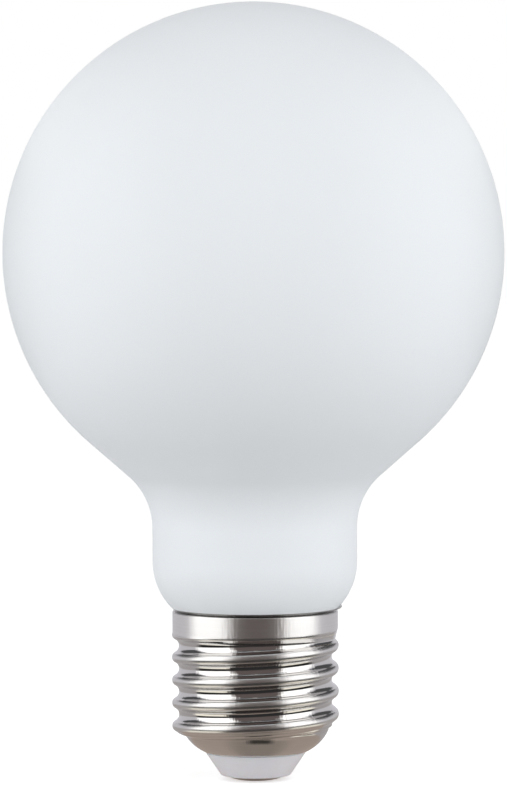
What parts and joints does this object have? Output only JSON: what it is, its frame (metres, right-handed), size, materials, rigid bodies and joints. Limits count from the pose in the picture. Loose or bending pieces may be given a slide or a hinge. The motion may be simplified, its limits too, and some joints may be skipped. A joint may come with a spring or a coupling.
{
  "type": "globe bulb",
  "caption": "Globe bulb with a satin opal glass envelope and a rolled, nickel-plated screw cap with a white insulator and a centre contact.",
  "frame": {"origin": "centre of the flat on the centre contact, on the bulb's axis", "axes": "+Z along the axis from the cap up to the globe; +X to the picture's right, with the snipped side lead 12 degrees to the front of it"},
  "size_m": [0.079, 0.079, 0.1227],
  "materials": {
    "opal_glass": "satin opal white glass, lit softly from outside",
    "nickel_plate": "bright nickel plate on rolled sheet",
    "basing_cement": "baked mineral and resin cement",
    "white_insulator": "moulded white plastic with a soft gloss",
    "contact_metal": "plated contact disc, lightly rubbed",
    "lead_wire": "dull tinned wire end"
  },
  "bodies": {
    "root": {"glass_globe": "opal_glass", "screw_shell": "nickel_plate", "cap_cement": "basing_cement", "cap_insulator": "white_insulator", "centre_contact": "contact_metal", "side_lead": "lead_wire"}
  },
  "joints": []
}
